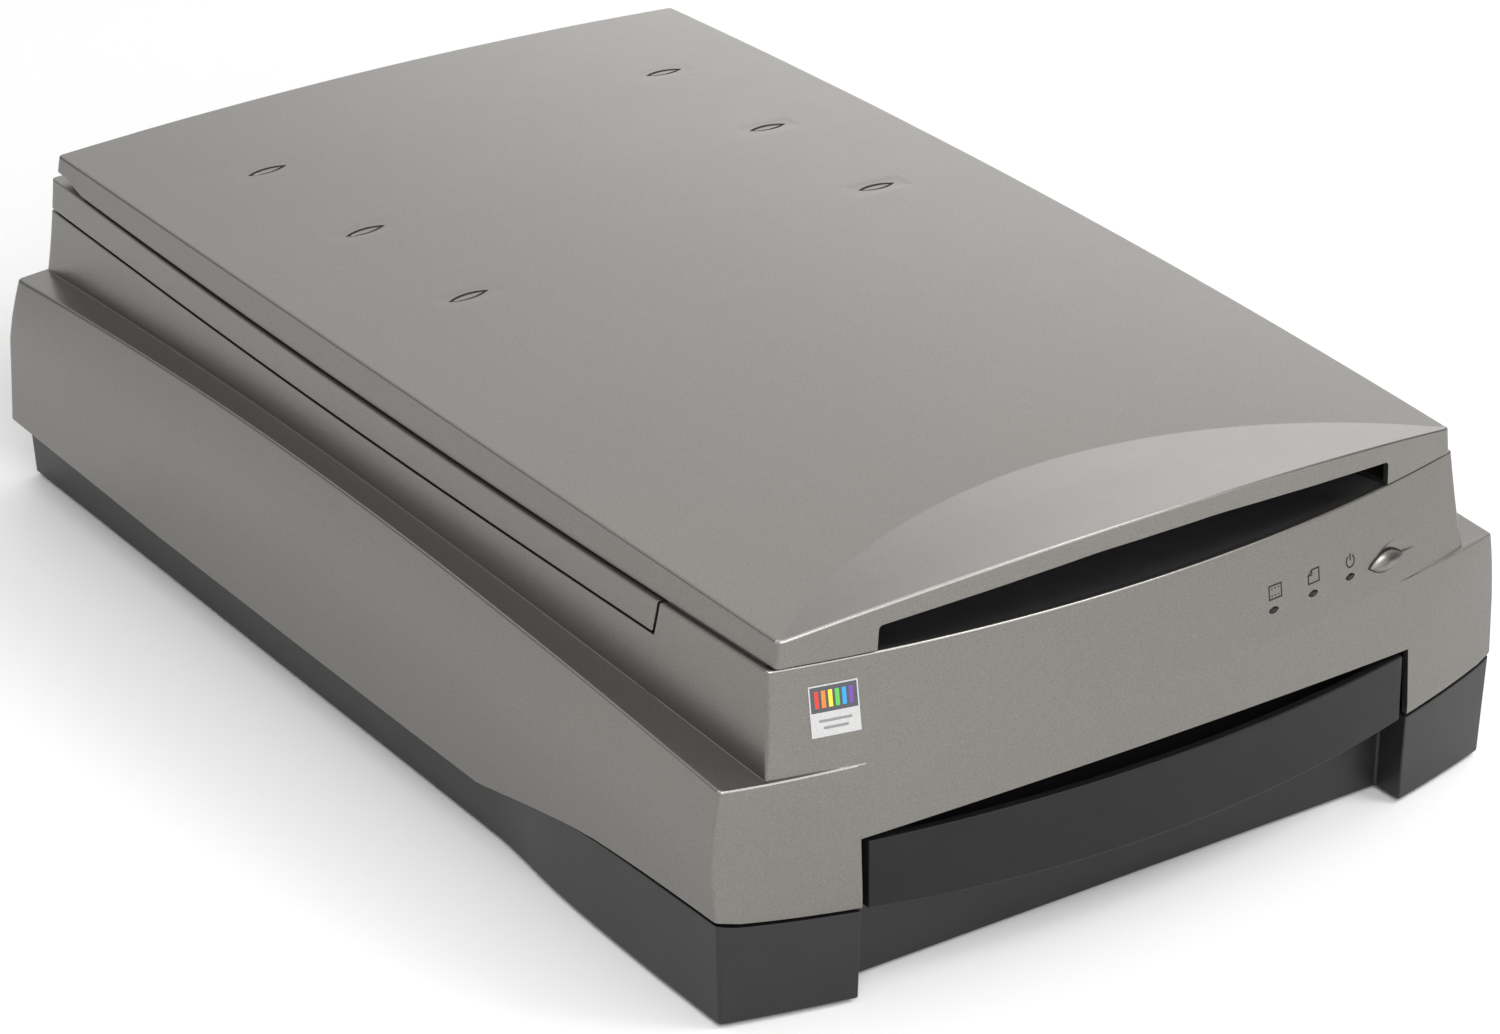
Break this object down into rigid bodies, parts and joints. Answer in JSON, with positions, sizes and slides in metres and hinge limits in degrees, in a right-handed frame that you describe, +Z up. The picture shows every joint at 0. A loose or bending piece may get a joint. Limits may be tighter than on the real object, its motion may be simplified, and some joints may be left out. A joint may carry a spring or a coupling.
{
  "type": "flatbed scanner",
  "caption": "Dual-bed flatbed scanner: hinged lid with an arched finger grip over a glass bed, a film drawer in the front, metallic grey casing on a black base.",
  "frame": {"origin": "middle of the footprint at the level of the rubber feet", "axes": "+Z up, -Y is the front with the drawer, +X is the right side seen from the front"},
  "size_m": [0.388, 0.587, 0.1725],
  "materials": {
    "casing": "metallic grey painted plastic, satin",
    "black_plastic": "black moulded plastic, fine grain",
    "rubber": "matt black rubber",
    "platen": "clear float glass",
    "steel": "plated steel",
    "white_foam": "matt white foam and diffuser",
    "board": "green circuit board",
    "brass": "sintered brass",
    "pipe": "smoked clear plastic",
    "mirror": "front-silvered mirror",
    "grey_plastic": "dark grey moulded plastic",
    "badge": "printed foil"
  },
  "bodies": {
    "root": {"base_tub": "black_plastic", "front_block_left": "black_plastic", "front_block_right": "black_plastic", "main_cover": "casing", "glass_frame": "casing", "platen_glass": "platen", "calibration_strip": "white_foam", "grip_recess": "black_plastic", "control_board": "board", "button_spring": "steel", "light_pipe_film": "pipe", "light_pipe_page": "pipe", "light_pipe_power": "pipe", "front_badge": "badge", "port_plate": "black_plastic", "power_inlet": "black_plastic", "usb_socket": "steel", "data_socket_left": "steel", "data_socket_right": "steel", "main_board": "board", "power_supply": "grey_plastic", "guide_rod": "steel", "slide_rail": "steel", "drive_motor": "steel", "drive_belt": "rubber", "drawer_rail_left": "steel", "drawer_rail_right": "steel", "rubber_foot_front_left": "rubber", "base_screw_front_left": "steel", "rubber_foot_front_right": "rubber", "base_screw_front_right": "steel", "rubber_foot_rear_left": "rubber", "base_screw_rear_left": "steel", "rubber_foot_rear_right": "rubber", "base_screw_rear_right": "steel"},
    "power_button": {"power_button": "casing"},
    "motor_pulley": {"motor_pulley": "brass"},
    "idler_pulley": {"idler_pulley": "brass"},
    "carriage": {"carriage_housing": "grey_plastic", "lamp_tube": "white_foam", "first_mirror": "mirror", "second_mirror": "mirror", "lens_barrel": "steel", "sensor_board": "board", "rod_bush_front": "brass", "rod_bush_rear": "brass"},
    "film_lamp": {"film_lamp": "white_foam"},
    "drawer": {"drawer_front": "black_plastic", "drawer_tray": "black_plastic", "film_holder": "grey_plastic"},
    "hinge_posts": {"hinge_post_left": "black_plastic", "hinge_post_right": "black_plastic"},
    "lid": {"lid_shell": "casing", "lid_liner": "black_plastic", "backing_mat": "white_foam", "hinge_arm_left": "steel", "hinge_arm_right": "steel", "hinge_pin_left": "steel", "hinge_pin_right": "steel"},
    "transport_lock": {"transport_lock": "grey_plastic"}
  },
  "joints": [
    {"name": "lid_lift", "type": "slide", "parent": "root", "child": "hinge_posts", "axis": [0, 0, 1], "range_m": [0, 0.02]},
    {"name": "lid_hinge", "type": "hinge", "parent": "hinge_posts", "child": "lid", "pos_m": [0, 0.28255, 0.151], "axis": [-1, 0, 0], "range_deg": [0, 78]},
    {"name": "drawer_slide", "type": "slide", "parent": "root", "child": "drawer", "axis": [0, -1, 0], "range_m": [0, 0.28]},
    {"name": "button_press", "type": "slide", "parent": "root", "child": "power_button", "axis": [0, 1, 0], "range_m": [0, 0.0015], "stiffness_N_per_m": 600, "deforming": ["button_spring"]},
    {"name": "carriage_slide", "type": "slide", "parent": "root", "child": "carriage", "axis": [0, -1, 0], "range_m": [0, 0.36]},
    {"name": "film_lamp_slide", "type": "slide", "parent": "root", "child": "film_lamp", "axis": [0, -1, 0], "range_m": [0, 0.36]},
    {"name": "motor_pulley_spin", "type": "hinge", "parent": "root", "child": "motor_pulley", "pos_m": [-0.128, 0.25655, 0.089], "axis": [0, 0, 1], "continuous": true},
    {"name": "idler_pulley_spin", "type": "hinge", "parent": "root", "child": "idler_pulley", "pos_m": [-0.128, -0.21545, 0.089], "axis": [0, 0, 1], "continuous": true},
    {"name": "transport_lock_turn", "type": "hinge", "parent": "root", "child": "transport_lock", "pos_m": [0.096, 0.24455, 0.004], "axis": [0, 0, 1], "range_deg": [0, 90]}
  ],
  "couplings": [
    {"joint": "film_lamp_slide", "follows": "carriage_slide", "ratio": 1},
    {"joint": "motor_pulley_spin", "follows": "carriage_slide", "rad_per_m": -132.45},
    {"joint": "idler_pulley_spin", "follows": "carriage_slide", "rad_per_m": -132.45}
  ]
}
